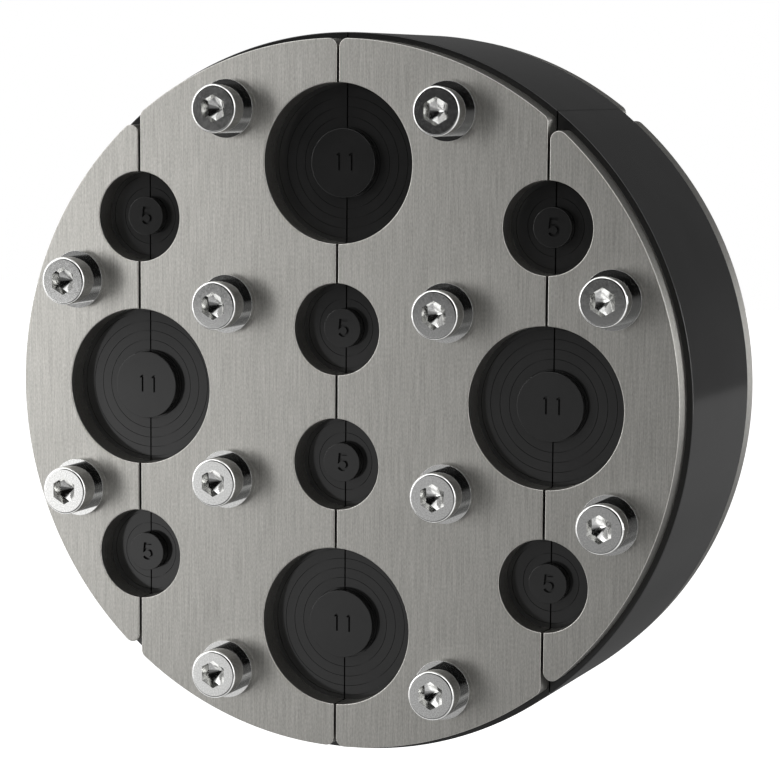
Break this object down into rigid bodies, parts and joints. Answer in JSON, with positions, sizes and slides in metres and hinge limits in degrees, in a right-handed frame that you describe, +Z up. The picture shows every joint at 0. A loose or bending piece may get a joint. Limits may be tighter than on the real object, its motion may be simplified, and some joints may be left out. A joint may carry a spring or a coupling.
{
  "type": "annular gap seal",
  "caption": "Round press seal for cables through a wall bore: split rubber body between split steel pressure plates, with plugged cable openings and clamping screws.",
  "frame": {"origin": "centre of the rubber body, on the seal's axis", "axes": "+Y along the seal's axis into the wall, away from the screw heads; +Z up along the split lines; +X to the right seen from the front"},
  "size_m": [0.1474, 0.066, 0.1474],
  "materials": {
    "plate_steel": "stainless steel sheet, brushed upright",
    "screw_steel": "smooth bright stainless steel",
    "seal_rubber": "smooth moulded black rubber, satin",
    "plug_rubber": "smooth moulded black rubber, matt"
  },
  "bodies": {
    "root": {"front_plate_left_outer": "plate_steel", "front_plate_left_inner": "plate_steel", "front_plate_right_inner": "plate_steel", "front_plate_right_outer": "plate_steel", "rubber_segment_left_outer": "seal_rubber", "rubber_segment_left_inner": "seal_rubber", "rubber_segment_right_inner": "seal_rubber", "rubber_segment_right_outer": "seal_rubber", "rear_plate_left_outer": "plate_steel", "rear_plate_left_inner": "plate_steel", "rear_plate_right_inner": "plate_steel", "rear_plate_right_outer": "plate_steel", "blind_plug_top": "plug_rubber", "blind_plug_left": "plug_rubber", "blind_plug_right": "plug_rubber", "blind_plug_bottom": "plug_rubber", "blind_plug_upper_left": "plug_rubber", "blind_plug_upper_right": "plug_rubber", "blind_plug_upper_centre": "plug_rubber", "blind_plug_lower_centre": "plug_rubber", "blind_plug_lower_left": "plug_rubber", "blind_plug_lower_right": "plug_rubber", "cap_screws": "screw_steel", "washers": "screw_steel", "nuts": "screw_steel"}
  },
  "joints": []
}
